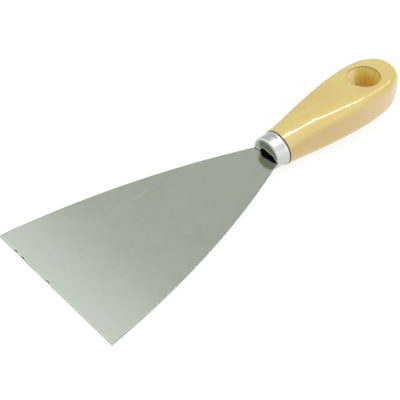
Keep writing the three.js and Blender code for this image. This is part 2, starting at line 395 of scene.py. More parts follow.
@dataclass(frozen=True)
class SteelFinish(Finish):
    """Satin rolled spring steel with faint mottling, hairline scratches and stained nicks."""

    tone: Colour
    warm_tone: Colour
    edge_tone: Colour
    stain_and_edge_shade: Colour
    roughness: float
    front: float
    nicks: tuple[Nick, ...]
    stained_run: tuple[float, float]
    scuffs: tuple[Scuff, ...]
    half_thickness: float
    cloud_scale: float = 38.0
    patch_scale: float = 210.0
    rolling_scales: Scales = (30.0, 1600.0, 30.0)
    hairline_scales: Scales = (1300.0, 26.0, 20.0)
    hairline_turn: float = 0.12
    hairline_sparseness: float = 26.0
    tooth_scale: float = 900.0
    bump_depth: float = 0.0006 * MM
    ground_begins: float = 1.4 * MM
    ground_full: float = 0.9 * MM
    cut_side_full: float = 0.01 * MM
    cut_side_ends: float = 0.08 * MM
    nick_stain: float = 0.8 * MM
    run_fade: float = 1.0 * MM
    run_depth: float = 0.5 * MM
    run_full: float = 0.2 * MM
    run_wander: float = 0.3 * MM

    def material(self, axes: Matrix) -> bpy.types.Material:
        """The material, drawn in the blade's axes.

        Args:
            axes: The piece's own axes in the frame.

        Returns:
            The finished material.
        """
        material, graph, place = self.start(axes)
        along, across, off = graph.split(place)
        clouds = graph.noise(place, self.cloud_scale, 4.0, 0.62)
        patches = graph.noise(place, self.patch_scale, 3.0, 0.6)
        rolling = graph.noise(graph.stretched(place, self.rolling_scales), 1.0, 3.0, 0.6)
        scratches = self.scratches(graph, place)
        tint = graph.rise(clouds * 0.6 + patches * 0.4, 0.36, 0.64)
        colour = graph.mix(tint, self.tone, self.warm_tone)
        colour = graph.mix(graph.rise(rolling, 0.3, 0.9) * 0.04, colour, self.edge_tone)
        colour = graph.mix(scratches * 0.22, colour, self.edge_tone)
        ground = graph.rise(along, self.front + self.ground_begins, self.front + self.ground_full)
        colour = graph.mix(ground * 0.25, colour, self.edge_tone)
        colour = graph.mix(self.scuffed(graph, along, across) * 0.2, colour, self.edge_tone)
        # The cut side and its rounded rim darken towards the oxide colour: partly duller sheared steel,
        # partly painted shade that dulls glints there.
        side_full = self.half_thickness - self.cut_side_full
        side_ends = self.half_thickness - self.cut_side_ends
        side = graph.rise(abs(off), side_full, side_ends)
        colour = graph.mix(side * 0.75, colour, self.stain_and_edge_shade)
        stained = self.stains(graph, along, across, patches)
        colour = graph.mix(stained, colour, self.stain_and_edge_shade)
        rough = self.roughness + (clouds - 0.5) * 0.10 + (rolling - 0.5) * 0.04 + stained * 0.3 + side * 0.6
        tooth = graph.noise(place, self.tooth_scale, 2.0)
        height = rolling * 0.2 + tooth * 0.3 - scratches * 0.4
        self.finish(
            graph,
            {
                "Base Color": colour,
                "Metallic": 1.0,
                "Roughness": rough,
                "Normal": self.bump(graph, height, self.bump_depth),
            },
        )
        return material

    def scratches(self, graph: NodeGraph, place: Wire) -> Wire:
        """Sparse hairlines that run across the sheet, 1 on a line and 0 beside it.

        Args:
            graph: The material's graph.
            place: Position in the blade's axes.

        Returns:
            The mask.
        """
        turned = graph.node(
            "ShaderNodeMapping",
            {"vector_type": "POINT"},
            {"Vector": place, "Rotation": (0.0, 0.0, self.hairline_turn)},
        )
        lines = graph.noise(graph.stretched(graph.wire(turned), self.hairline_scales), 1.0, 1.0)
        sparse = graph.noise(place, self.hairline_sparseness, 2.0)
        return graph.rise(lines, 0.70, 0.76) * graph.rise(sparse, 0.52, 0.66)

    def stains(self, graph: NodeGraph, along: Wire, across: Wire, patches: Wire) -> Wire:
        """Dark oxide in and beside each nick in the front edge.

        Args:
            graph: The material's graph.
            along: Position along the blade.
            across: Position across it.
            patches: Noise that makes the stains uneven.

        Returns:
            The mask.
        """
        depth = along - self.front
        total = None
        for nick in self.nicks:
            aside = abs(across - nick.across) / nick.half_width
            spread = graph.rise(aside + depth / self.nick_stain + (patches - 0.5) * 0.9, 1.2, 0.8)
            total = spread if total is None else graph.maths("MAXIMUM", total, spread)
        low, high = self.stained_run
        from_low = graph.rise(across, low, low + self.run_fade)
        inside = from_low * graph.rise(across, high, high - self.run_fade)
        uneven = depth + (patches - 0.5) * self.run_wander
        line = graph.rise(uneven, self.run_depth, self.run_full) * inside
        return graph.maths("MAXIMUM", total * 0.9, line * 0.25)

    def scuffed(self, graph: NodeGraph, along: Wire, across: Wire) -> Wire:
        """Faint pale scuffs, 1 on a scuff and 0 beside it.

        Args:
            graph: The material's graph.
            along: Position along the blade.
            across: Position across it.

        Returns:
            The mask.
        """
        total = None
        for scuff in self.scuffs:
            run = scuff.end[0] - scuff.start[0]
            drift = scuff.end[1] - scuff.start[1]
            length = math.hypot(run, drift)
            x = along - (scuff.start[0] + scuff.end[0]) / 2
            y = across - (scuff.start[1] + scuff.end[1]) / 2
            lengthwise = abs((x * run + y * drift) / length)
            aside = abs((y * run - x * drift) / length)
            within = graph.rise(lengthwise, length * 0.55, length * 0.4)
            spread = graph.rise(aside, scuff.half_width, 0.0) * within
            total = spread if total is None else graph.maths("MAXIMUM", total, spread)
        return total


@dataclass(frozen=True)
class PlatingFinish(Finish):
    """Bright plating over thin pressed steel, with handling marks, a duller, stained rear rim, a painted
    dark reflection on its end face and a painted highlight on its torn lip.
    """

    tone: Colour
    dull_tone: Colour
    speck_and_shade_tone: Colour
    torn_edge_highlight: Colour
    roughness: float
    rear: float
    brim: float
    lift: float
    cloud_scale: float = 260.0
    speck_scale: float = 1500.0
    drawn_scales: Scales = (2600.0, 260.0, 260.0)
    bump_depth: float = 0.004 * MM
    stained_rim: float = 0.9 * MM
    rim_wander: float = 1.5 * MM
    dark_reflection_begins: float = 0.1 * MM
    dark_reflection_full: float = 0.7 * MM
    dark_reflection_left: float = 6.8 * MM
    dark_reflection_right: float = 4.6 * MM
    dark_reflection_wander: float = 1.0 * MM

    def material(self, axes: Matrix) -> bpy.types.Material:
        """The material, drawn in the ferrule's axes.

        Args:
            axes: The piece's own axes in the frame.

        Returns:
            The finished material.
        """
        material, graph, place = self.start(axes)
        along, across, up = graph.split(place)
        clouds = graph.noise(place, self.cloud_scale, 4.0, 0.6)
        specks = graph.noise(place, self.speck_scale, 3.0, 0.6)
        drawn = graph.noise(graph.stretched(place, self.drawn_scales), 1.0, 2.0)
        uneven = along + (clouds - 0.5) * self.rim_wander
        rim = graph.rise(uneven, self.rear - self.stained_rim, self.rear)
        dull = graph.clamp(graph.rise(clouds, 0.52, 0.75) * 0.35 + rim * 0.4)
        colour = graph.mix(dull, self.tone, self.dull_tone)
        colour = graph.mix(graph.rise(specks, 0.66, 0.76) * 0.3, colour, self.speck_and_shade_tone)
        # Painted dark reflection: the end face darkens except its left third, standing in for the dark
        # surroundings that it reflects.
        from_axis = graph.maths("SQRT", across**2.0 + (up - self.lift) ** 2.0)
        painted_dark_reflection = graph.rise(from_axis, self.brim + self.dark_reflection_begins, self.brim - self.dark_reflection_full)
        sideways = across + (clouds - 0.5) * self.dark_reflection_wander
        painted_dark_reflection = painted_dark_reflection * graph.rise(sideways, self.dark_reflection_left, self.dark_reflection_right)
        colour = graph.mix(painted_dark_reflection * 0.85, colour, self.speck_and_shade_tone)
        # Painted highlight: the torn lip's edge is lightened where light catches the cut sheet.
        torn = graph.wire(graph.node("ShaderNodeAttribute", {"attribute_name": TORN_EDGE}), "Fac")
        colour = graph.mix(torn, colour, self.torn_edge_highlight)
        rough = self.roughness + dull * 0.16 + (specks - 0.5) * 0.06 + torn * 0.15
        height = drawn * 0.2 + specks * 0.15 + clouds * 0.8
        self.finish(
            graph,
            {
                "Base Color": colour,
                "Metallic": 1.0,
                "Roughness": rough,
                "Normal": self.bump(graph, height, self.bump_depth),
            },
        )
        return material


@dataclass(frozen=True)
class WoodFinish(Finish):
    """Pale close-grained hardwood under thick gloss lacquer, with painted shade on its sides, a painted
    glow and sheen in the hole, and painted shade on the tenon and the shoulder.
    """

    light: Colour
    deep: Colour
    line: Colour
    end_grain: Colour
    throat_glow: Colour
    gap_shade_tone: Colour
    side_shade_tone: Colour
    butt_sheen_tone: Colour
    lacquer_roughness: float
    rim_line: Colour
    wall_sheen_tone: Colour
    hole_at: float
    hole_mouth: float
    hole_throat: float
    ring_scales: Scales = (22.0, 120.0, 120.0)
    pore_scales: Scales = (260.0, 3200.0, 3200.0)
    cloud_scale: float = 45.0
    wander_scale: float = 22.0
    wander: float = 5.0 * MM
    bump_depth: float = 0.006 * MM
    side_begins: float = 9.5 * MM
    side_full: float = 4.0 * MM
    butt_begins: float = 30.0 * MM
    butt_full: float = 80.0 * MM
    gap_shade_ends: float = 0.45 * MM
    gap_shade_full: float = 0.2 * MM
    lacquer_begins: float = -0.1 * MM
    lacquer_full: float = 0.5 * MM
    glow_at: float = math.radians(18)
    glow_ends: float = math.radians(40)
    glow_full: float = math.radians(8)
    sheen_begins: float = math.radians(66)
    sheen_full: float = math.radians(98)
    sheen_lean: float = 0.06
    sheen_level: float = 8.0
    dark_rim_at: float = math.radians(30)
    dark_rim_fade: float = 2.5 * MM
    dark_rim_ends: float = 0.35 * MM
    dark_rim_full: float = 0.08 * MM

    def material(self, axes: Matrix) -> bpy.types.Material:
        """The material, drawn in the handle's axes.

        Args:
            axes: The piece's own axes in the frame.

        Returns:
            The finished material.
        """
        material, graph, place = self.start(axes)
        along, across, up = graph.split(place)
        drift = graph.node("ShaderNodeTexNoise", inputs={"Vector": place, "Scale": self.wander_scale})
        bent = graph.shifted(place, graph.wire(drift, 1), self.wander)
        rings = graph.noise(graph.stretched(bent, self.ring_scales), 1.0, 3.0, 0.55)
        pores = graph.noise(graph.stretched(place, self.pore_scales), 1.0, 2.0, 0.6)
        clouds = graph.noise(place, self.cloud_scale, 3.0)
        colour = graph.mix(graph.rise(rings * 0.65 + clouds * 0.35, 0.36, 0.66), self.light, self.deep)
        colour = graph.mix(graph.rise(pores, 0.62, 0.74) * 0.07, colour, self.line)
        # Painted light: the sides below the top face take a darker, warmer painted shade that pales towards
        # the butt into a painted sheen.
        side = graph.rise(up, self.side_begins, self.side_full)
        towards_butt = graph.rise(along, self.butt_begins, self.butt_full)
        side_shade_colour = graph.mix(towards_butt, self.side_shade_tone, self.butt_sheen_tone)
        colour = graph.mix(side * 0.8, colour, side_shade_colour)
        colour = self.hole_tones(graph, colour, along, across)
        # Painted shade: near-black on the tenon inside the cup and on the wood's shoulder, standing in for
        # the shade in the gap behind the ferrule.
        colour = graph.mix(graph.rise(along, self.gap_shade_ends, self.gap_shade_full), colour, self.gap_shade_tone)
        outside = graph.rise(along, self.lacquer_begins, self.lacquer_full)
        aside = graph.maths("SQRT", (along - self.hole_at) ** 2.0 + across**2.0)
        outside = outside * (0.25 + 0.75 * graph.rise(aside, self.hole_mouth - 0.4 * MM, self.hole_mouth))
        height = pores * 0.2 + clouds * 0.6
        self.finish(
            graph,
            {
                "Base Color": colour,
                "Roughness": 0.42 + (rings - 0.5) * 0.12,
                "Normal": self.bump(graph, height, self.bump_depth),
                "Coat Weight": outside,
                "Coat Roughness": self.lacquer_roughness,
                "Coat IOR": 1.5,
            },
        )
        return material

    def hole_tones(self, graph: NodeGraph, colour: Wire, along: Wire, across: Wire) -> Wire:
        """The colour with end grain on the hole's wall, a painted orange glow of light bounced between the
        walls deepening towards the narrowest part, a painted sheen on the left wall and a painted shade
        line along the far rim.

        Args:
            graph: The material's graph.
            colour: The colour of the wood round the hole.
            along: Position along the handle.
            across: Position across it.

        Returns:
            The colour with the hole's tones in it.
        """
        ahead = along - self.hole_at
        aside = graph.maths("SQRT", ahead**2.0 + across**2.0)
        round_axis = graph.maths("ARCTAN2", across, ahead)
        in_hole = graph.rise(aside, self.hole_mouth + 0.3 * MM, self.hole_mouth - 0.4 * MM)
        colour = graph.mix(in_hole * 0.7, colour, self.end_grain)
        # Painted glow: bounced light, deepening down the hole and strongest on one side.
        deep = graph.rise(aside, self.hole_mouth - 0.8 * MM, self.hole_throat + 0.6 * MM)
        glow_side = graph.rise(abs(round_axis - self.glow_at), self.glow_ends, self.glow_full)
        colour = graph.mix(in_hole * deep * (0.35 + 0.5 * glow_side), colour, self.throat_glow)
        # Painted sheen: the left part of the hole's wall is paled, standing in for a lamp's reflection in
        # the lacquer, bounded by a line running down the wall.
        leaning = round_axis + (aside / MM - self.sheen_level) * self.sheen_lean
        pale = graph.rise(leaning, self.sheen_begins, self.sheen_full)
        colour = graph.mix(in_hole * pale * 0.85, colour, self.wall_sheen_tone)
        streaks = graph.noise(graph.vector(round_axis * 9.0, aside * 60.0, 0.0), 1.0, 2.0)
        marks = in_hole * graph.rise(streaks, 0.52, 0.7) * (1.0 - pale)
        colour = graph.mix(marks * 0.4, colour, self.rim_line)
        # Painted shade: a dark line along the far rim only, where the wall drops away under the top face.
        rim = graph.rise(abs(aside - self.hole_mouth), self.dark_rim_ends, self.dark_rim_full)
        towards = ahead * math.cos(self.dark_rim_at) + across * math.sin(self.dark_rim_at)
        far = graph.rise(towards, 0.0, self.dark_rim_fade)
        return graph.mix(rim * far * 0.6, colour, self.rim_line)


@dataclass(frozen=True)
class AdhesiveFinish(Finish):
    """Set brown adhesive with lumps and a dull sheen."""

    tone: Colour
    dark: Colour
    lump_scale: float = 420.0
    bump_depth: float = 0.15 * MM

    def material(self, axes: Matrix) -> bpy.types.Material:
        """The material, drawn in the blade's axes.

        Args:
            axes: The piece's own axes in the frame.

        Returns:
            The finished material.
        """
        material, graph, place = self.start(axes)
        lumps = graph.noise(place, self.lump_scale, 4.0, 0.6)
        colour = graph.mix(graph.rise(lumps, 0.35, 0.65), self.dark, self.tone)
        self.finish(
            graph,
            {
                "Base Color": colour,
                "Roughness": 0.55 + (lumps - 0.5) * 0.3,
                "Normal": self.bump(graph, lumps, self.bump_depth),
            },
        )
        return material


@dataclass(frozen=True)
class FloorFinish(Finish):
    """Matt white paper with the faintest tooth."""

    tone: Colour
    shade: Colour
    glow: float = 0.8
    tooth_scale: float = 700.0
    bump_depth: float = 0.02 * MM

    def material(self, axes: Matrix) -> bpy.types.Material:
        """The material, drawn in the frame's axes.

        Args:
            axes: The piece's own axes in the frame.

        Returns:
            The finished material.
        """
        material, graph, place = self.start(axes)
        tooth = graph.noise(place, self.tooth_scale, 2.0)
        self.finish(
            graph,
            {
                "Base Color": graph.mix(tooth * 0.3, self.tone, self.shade),
                "Roughness": 0.9,
                "Emission Color": (1.0, 1.0, 1.0, 1.0),
                "Emission Strength": self.glow,
                "Normal": self.bump(graph, tooth, self.bump_depth),
            },
        )
        return material


# ---------------------------------------------------------------- mesh helpers


def new_object(name: str, mesh: bpy.types.Mesh) -> bpy.types.Object:
    """A mesh linked into the scene as an object at the origin.

    Args:
        name: The object's name.
        mesh: Its mesh.

    Returns:
        The object.
    """
    piece = bpy.data.objects.new(name, mesh)
    bpy.context.scene.collection.objects.link(piece)
    return piece


def applied(piece: bpy.types.Object) -> None:
    """Turns a piece with live modifiers into a plain mesh.

    Args:
        piece: The piece, changed in place.
    """
    graph = bpy.context.evaluated_depsgraph_get()
    graph.update()
    mesh = bpy.data.meshes.new_from_object(piece.evaluated_get(graph))
    mesh.name = piece.name
    piece.modifiers.clear()
    old = piece.data
    piece.data = mesh
    bpy.data.meshes.remove(old)


def smooth_up_to(piece: bpy.types.Object, degrees: float) -> None:
    """Shades a piece smooth and keeps the edges that turn by more than this sharp."""
    piece.data.polygons.foreach_set("use_smooth", [True] * len(piece.data.polygons))
    piece.data.set_sharp_from_angle(angle=math.radians(degrees))


def loft(bm: bmesh.types.BMesh, rings: Sequence[Sequence[Vector]], closed: bool = True) -> None:
    """Adds quads between neighbouring rings; a ring of one point is a pole.

    Args:
        bm: The mesh to add to.
        rings: The rings in order, each with the same number of points, or with one.
        closed: Whether each ring joins its own start.
    """
    rows = [[bm.verts.new(point) for point in ring] for ring in rings]
    for here, there in zip(rows, rows[1:]):
        count = max(len(here), len(there))
        for i in range(count if closed else count - 1):
            j = (i + 1) % count
            corners = [
                here[i % len(here)],
                here[j % len(here)],
                there[j % len(there)],
                there[i % len(there)],
            ]
            bm.faces.new(list(dict.fromkeys(corners)))


def finish_mesh(bm: bmesh.types.BMesh, name: str, axes: Matrix) -> bpy.types.Mesh:
    """Closes a mesh, points its faces outwards and puts it in its place in the frame.

    Args:
        bm: The mesh in the piece's axes; it is freed.
        name: The mesh's name.
        axes: The piece's axes in the frame.

    Returns:
        The finished mesh.
    """
    bmesh.ops.remove_doubles(bm, verts=bm.verts, dist=1e-7)
    bmesh.ops.recalc_face_normals(bm, faces=bm.faces)
    bm.transform(axes)
    mesh = bpy.data.meshes.new(name)
    bm.to_mesh(mesh)
    bm.free()
    return mesh


def ease(t: float) -> float:
    """Smooth rise from 0 to 1 for t between 0 and 1, flat at both ends."""
    u = min(max(t, 0.0), 1.0)
    return u * u * (3.0 - 2.0 * u)


def bezier(points: Sequence[Vector], count: int) -> list[Vector]:
    """Points on a cubic Bezier curve, without its first one.

    Args:
        points: The two ends with the two control points between them.
        count: How many points to give.

    Returns:
        The points.
    """
    a, b, c, d = points
    steps = [i / count for i in range(1, count + 1)]
    return [
        a * (1 - t) ** 3 + 3 * b * t * (1 - t) ** 2 + 3 * c * t * t * (1 - t) + d * t**3
        for t in steps
    ]


# ---------------------------------------------------------------- blade


@dataclass
class Blade:
    """The stamped sheet: a flared working end with curved sides, shoulders and a hidden tang."""

    finish: SteelFinish
    nicks: tuple[Nick, ...]
    front_width: float = 100 * MM
    exposed_length: float = 153.6 * MM
    neck_width: float = 19 * MM
    side_bulge: float = 5.65 * MM
    thickness: float = 0.7 * MM
    pitch: float = math.radians(2.6)
    shoulder_depth: float = 2.2 * MM
    shoulder_run: float = 0.3 * MM
    tang_width: float = 12 * MM
    tang_length: float = 44 * MM
    edge_round: float = 0.1 * MM
    edge_segments: int = 2
    sharp_edge: float = 50
    smooth_limit: float = 35
    nick_reach: float = 1.2 * MM
    edge_rows: int = 4
    edge_spacing: int = 4
    rows: int = 110
    shoulder_rows: int = 6
    tang_rows: int = 30
    columns: int = 200

    def axes(self) -> Matrix:
        """The blade's axes in the frame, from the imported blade's box and its upper mount.

        Returns:
            The axes, with their origin in the middle of the sheet at the mouth.
        """
        low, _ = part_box("blade")
        mounts = frame["record"]["mounts"]
        axis = next(Vector(m["axis"]) for m in mounts if m["name"] == "blade_upper_face")
        slope = math.atan2(-axis.x, axis.z)
        turn = Matrix.Rotation(-slope, 4, "Y")
        half = self.thickness / 2
        front = Vector((low.x - axis.x * half, 0.0, low.z + axis.z * half))
        mouth = front + turn @ Vector((self.exposed_length, 0.0, 0.0))
        return Matrix.Translation(mouth) @ turn

    def side(self, x: float) -> float:
        """Half the width of the sheet at x, on a shallow arc from the front corner to the neck.

        Args:
            x: Place along the blade.

        Returns:
            The half width.
        """
        front = Vector((-self.exposed_length, self.front_width / 2))
        neck = Vector((0.0, self.neck_width / 2))
        chord = neck - front
        half = chord.length / 2
        radius = (half**2 + self.side_bulge**2) / (2 * self.side_bulge)
        inward = Vector((chord.y, -chord.x)).normalized()
        centre = (front + neck) / 2 + inward * (radius - self.side_bulge)
        on_arc = centre.y + math.sqrt(radius**2 - (x - centre.x) ** 2)
        stepped = ease((x - self.shoulder_depth + self.shoulder_run) / self.shoulder_run)
        return on_arc + (self.tang_width / 2 - on_arc) * stepped

    def stations(self) -> list[float]:
        """Places of the rows along the sheet, close together at the front edge and the shoulders.

        Returns:
            The places, from front to back.
        """
        front = -self.exposed_length
        edge = [front + self.edge_round * self.edge_spacing * i for i in range(self.edge_rows)]
        start = edge[-1]
        step = -start / self.rows
        sheet = [start + step * i for i in range(1, self.rows + 1)]
        shoulder = self.shoulder_depth - self.shoulder_run
        steps = [
            shoulder + self.shoulder_run * i / self.shoulder_rows for i in range(self.shoulder_rows + 1)
        ]
        tang = [
            self.shoulder_depth + self.tang_length * i / self.tang_rows
            for i in range(1, self.tang_rows + 1)
        ]
        return edge + sheet + steps + tang

    def nicked(self, x: float, y: float) -> float:
        """How far a point near the front edge is pushed back by the nicks.

        Args:
            x: Place along the blade.
            y: Place across it.

        Returns:
            The push.
        """
        into = 1.0 - (x + self.exposed_length) / self.nick_reach
        if into <= 0.0:
            return 0.0
        push = 0.0
        for nick in self.nicks:
            aside = abs(y - nick.across) / nick.half_width
            push = max(push, nick.depth * max(0.0, 1.0 - aside**2))
        return push * into

    def mesh(self) -> bpy.types.Mesh:
        """The sheet's two faces and its rim, before the rim is rounded.

        Returns:
            The mesh, in the frame.
        """
        bm = bmesh.new()
        sides: list[list[list[bmesh.types.BMVert]]] = []
        stations = self.stations()
        for height in (self.thickness / 2, -self.thickness / 2):
            face = []
            for x in stations:
                half = self.side(x)
                row = []
                for i in range(self.columns + 1):
                    y = half * (2 * i / self.columns - 1)
                    row.append(bm.verts.new((x + self.nicked(x, y), y, height)))
                face.append(row)
            sides.append(face)
            for here, there in zip(face, face[1:]):
                for i in range(self.columns):
                    bm.faces.new((here[i], there[i], there[i + 1], here[i + 1]))
        upper, lower = sides
        rims = [
            (upper[0], lower[0]),
            (upper[-1], lower[-1]),
            ([row[0] for row in upper], [row[0] for row in lower]),
            ([row[-1] for row in upper], [row[-1] for row in lower]),
        ]
        for above, beneath in rims:
            for i in range(len(above) - 1):
                bm.faces.new((above[i], above[i + 1], beneath[i + 1], beneath[i]))
        return finish_mesh(bm, "knife_blade", self.axes())

    def build(self) -> bpy.types.Object:
        """The finished blade.

        Returns:
            The blade.
        """
        piece = new_object("knife_blade", self.mesh())
        bevel = piece.modifiers.new("rounded_rim", "BEVEL")
        bevel.width = self.edge_round
        bevel.segments = self.edge_segments
        bevel.limit_method = "ANGLE"
        bevel.angle_limit = math.radians(self.sharp_edge)
        applied(piece)
        smooth_up_to(piece, self.smooth_limit)
        piece.data.materials.clear()
        piece.data.materials.append(self.finish.material(self.axes()))
        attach(piece, "root")
        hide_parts("blade")
        return piece


# ---------------------------------------------------------------- ferrule


@dataclass
class Ferrule:
    """The drawn cup with its slotted end face, its torn upper lip and its belled rear rim."""

    finish: PlatingFinish
    axes: Matrix
    length: float = 9 * MM
    radius: float = 10.45 * MM
    rear_radius: float = 11.4 * MM
    bell_length: float = 3.5 * MM
    lift: float = 0.9 * MM
    wall: float = 0.7 * MM
    shoulder: float = 1.0 * MM
    dish: float = 0.5 * MM
    dish_radius: float = 6 * MM
    slot_half: float = 9.8 * MM
    slot_high: float = 0.65 * MM
    lip_side: float = 0.95 * MM
    rest_at: float = 5.8 * MM
    crown_at: float = 2.6 * MM
    crown: float = 3.95 * MM
    shelf_at: float = -3.6 * MM
    shelf: float = 3.25 * MM
    curl: float = 0.32 * MM
    curl_reach: float = 0.9 * MM
    torn_width: float = 0.3 * MM
    rim_round: float = 0.2 * MM
    hook_in: float = 1.2 * MM
    hook_out: float = 1.1 * MM
    crown_ends: float = 0.0
    shelf_begins: float = -1 * MM
    shelf_ends: float = -6.5 * MM
    fall_at: float = -7.5 * MM
    fall: float = 2 * MM
    unevenness: float = 0.0035
    unevenness_fade: float = 2 * MM
    smooth_limit: float = 40
    around: int = 224
    flat_steps: int = 12
    round_steps: int = 8
    wall_steps: int = 10
    bell_steps: int = 14
    curve_steps: int = 18
    fall_steps: int = 24

    def profile(self) -> list[tuple[float, float]]:
        """Half section as (radius, distance back), from the middle of the end face to its inside.

        Returns:
            The points in order.
        """
        points = [(self.dish_radius * i / self.flat_steps, self.dish) for i in range(self.flat_steps + 1)]
        brim = self.radius - self.shoulder
        for i in range(1, self.round_steps):
            t = i / self.round_steps
            points.append((self.dish_radius + (brim - self.dish_radius) * t, self.dish * (1 - ease(t))))
        for i in range(self.round_steps + 1):
            angle = math.pi / 2 * i / self.round_steps
            turned = 1 - math.cos(angle)
            points.append((brim + self.shoulder * math.sin(angle), self.shoulder * turned))
        bell_start = self.length - self.bell_length
        straight = bell_start - self.shoulder
        points += [
            (self.radius, self.shoulder + straight * i / self.wall_steps) for i in range(1, self.wall_steps)
        ]
        bell = []
        last = 1 - self.rim_round / self.bell_length
        for i in range(self.bell_steps + 1):
            t = last * i / self.bell_steps
            belled = self.radius + (self.rear_radius - self.radius) * t * t
            bell.append((belled, bell_start + self.bell_length * t))
        points += bell
        outer, corner = bell[-1]
        middle = outer - self.wall / 2
        for i in range(1, self.round_steps):
            angle = math.pi * i / self.round_steps
            rounded = middle + self.wall / 2 * math.cos(angle)
            points.append((rounded, corner + self.rim_round * math.sin(angle)))
        points += [(r - self.wall, x) for r, x in reversed(bell)]
        points.append((self.radius - self.wall, self.shoulder + self.wall))
        points.append((brim - self.wall, self.wall + self.dish))
        inner = self.wall + self.dish
        points += [(self.dish_radius * i / self.flat_steps, inner) for i in range(self.flat_steps, -1, -1)]
        return points

    def cup(self) -> bpy.types.Mesh:
        """The cup before its mouth is cut.

        Returns:
            The mesh, in the ferrule's axes.
        """
        bm = bmesh.new()
        rings = []
        for r, x in self.profile():
            if r < 1e-9:
                rings.append([Vector((x, 0.0, self.lift))])
                continue
            into_bell = (x - self.length + self.bell_length) / self.bell_length
            lift = self.lift * (1 - ease(into_bell))
            ring = []
            for i in range(self.around):
                angle = 2 * math.pi * i / self.around
                dented = r * (1 + self.dent(angle, x))
                ring.append(Vector((x, dented * math.cos(angle), dented * math.sin(angle) + lift)))
            rings.append(ring)
        loft(bm, rings)
        return finish_mesh(bm, "knife_ferrule", Matrix.Identity(4))

    def dent(self, angle: float, x: float) -> float:
        """Slight unevenness of the pressed cup, as a share of its radius.

        Args:
            angle: Angle round the cup.
            x: Distance behind its end face.

        Returns:
            The change of radius over the radius.
        """
        fade = ease(x / self.unevenness_fade) * ease((self.length - x) / self.unevenness_fade)
        waves = math.sin(3 * angle + 0.7) + 0.6 * math.sin(7 * angle + 2.1) + 0.4 * math.sin(13 * angle)
        return self.unevenness * fade * (waves * 0.5 - 0.9)

    def lip(self) -> list[Vector]:
        """The torn lip, as (across, up) points from the left end of the slot to the right.

        Returns:
            The points in order.
        """
        start = Vector((self.slot_half, self.lip_side))
        rest = Vector((self.rest_at, self.slot_high))
        crown = Vector((self.crown_at, self.crown))
        shelf = Vector((self.shelf_at, self.shelf))
        end = Vector((-self.slot_half, self.lip_side))
        points = [start.lerp(rest, i / self.flat_steps) for i in range(self.flat_steps + 1)]
        hook_low = Vector((self.rest_at - self.hook_in, self.slot_high))
        hook_high = Vector((self.rest_at - self.hook_out, self.crown))
        crown_end = Vector((self.crown_ends, self.crown))
        shelf_start = Vector((self.shelf_begins, self.shelf))
        shelf_end = Vector((self.shelf_ends, self.shelf))
        falling = Vector((self.fall_at, self.fall))
        points += bezier([rest, hook_low, hook_high, crown], self.curve_steps)
        points += bezier([crown, crown_end, shelf_start, shelf], self.curve_steps)
        points += bezier([shelf, shelf_end, falling, end], self.fall_steps)
        return points

    def ragged(self, point: Vector) -> Vector:
        """A lip point moved a little, because the sheet tore there.

        Args:
            point: A point on the smooth lip.

        Returns:
            The moved point.
        """
        t = point.x / MM
        tear = 0.055 * math.sin(5.1 * t + 1.0) + 0.04 * math.sin(11.3 * t) + 0.03 * math.sin(23.0 * t + 0.4)
        return point + Vector((0.0, tear * MM))

    def mouth(self) -> bpy.types.Mesh:
        """The tool that cuts the mouth through the end face.

        Returns:
            The tool's mesh, in the ferrule's axes.
        """
        outline = [Vector((-self.slot_half, -self.slot_high)), Vector((self.slot_half, -self.slot_high))]
        outline += [self.ragged(point) for point in self.lip()]
        depth = self.shoulder + self.dish + self.wall
        bm = bmesh.new()
        ends = [[bm.verts.new((x, p.x, p.y)) for p in outline] for x in (-depth, depth)]
        for i in range(len(outline)):
            j = (i + 1) % len(outline)
            bm.faces.new((ends[0][i], ends[0][j], ends[1][j], ends[1][i]))
        bm.faces.new(ends[0])
        bm.faces.new(ends[1])
        return finish_mesh(bm, "mouth_tool", Matrix.Identity(4))

    def curl_lip(self, mesh: bpy.types.Mesh) -> None:
        """Bends the sheet just above the torn lip forwards, so that its edge stands proud.

        Args:
            mesh: The ferrule's mesh in its own axes, changed in place.
        """
        lip = [self.ragged(point) for point in self.lip()]
        torn = mesh.attributes.new(TORN_EDGE, "FLOAT", "POINT")
        for vertex in mesh.vertices:
            here = Vector((vertex.co.y, vertex.co.z))
            if vertex.co.x > self.dish + self.wall + 0.1 * MM or here.y < 0:
                continue
            nearest = min((here - point).length for point in lip)
            torn.data[vertex.index].value = max(0.0, 1 - nearest / self.torn_width)
            closeness = 1 - nearest / self.curl_reach
            if closeness > 0:
                vertex.co.x -= self.curl * closeness**2

    def build(self) -> bpy.types.Object:
        """The finished ferrule.

        Returns:
            The ferrule.
        """
        piece = new_object("knife_ferrule", self.cup())
        tool = new_object("mouth_tool", self.mouth())
        cut = piece.modifiers.new("mouth", "BOOLEAN")
        cut.operation = "DIFFERENCE"
        cut.solver = "EXACT"
        cut.object = tool
        applied(piece)
        bpy.data.objects.remove(tool)
        self.curl_lip(piece.data)
        piece.data.transform(self.axes)
        smooth_up_to(piece, self.smooth_limit)
        piece.data.materials.clear()
        piece.data.materials.append(self.finish.material(self.axes))
        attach(piece, "root")
        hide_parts("ferrule")
        return piece


# ---------------------------------------------------------------- handle


